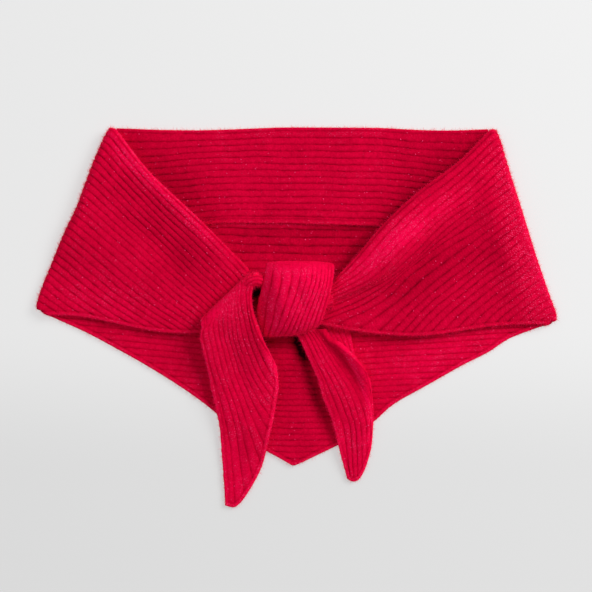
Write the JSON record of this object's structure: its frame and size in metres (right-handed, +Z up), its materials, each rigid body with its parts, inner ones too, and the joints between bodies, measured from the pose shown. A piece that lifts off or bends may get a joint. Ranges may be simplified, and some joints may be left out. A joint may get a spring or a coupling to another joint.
{
  "type": "knit triangle scarf",
  "caption": "Triangular rib-knit scarf laid flat, its long edge folded down inside and its ends folded to the front and tied in a half knot.",
  "frame": {"origin": "middle of the underside's footprint, on the surface that the scarf lies on", "axes": "+X across the scarf towards the side fold on the wearer's left, +Y from the point at the bottom to the neck edge, +Z up from the table"},
  "size_m": [0.4492, 0.3298, 0.0344],
  "materials": {
    "rib_knit": "soft brushed wool rib knit with a few metallic flecks, matt, light sheen"
  },
  "bodies": {
    "root": {"back_panel": "rib_knit", "neck_flap": "rib_knit", "front_left": "rib_knit", "front_right": "rib_knit", "knot_band": "rib_knit", "knot_core": "rib_knit", "tail_left": "rib_knit", "tail_right": "rib_knit", "tail_right_under": "rib_knit"}
  },
  "joints": []
}
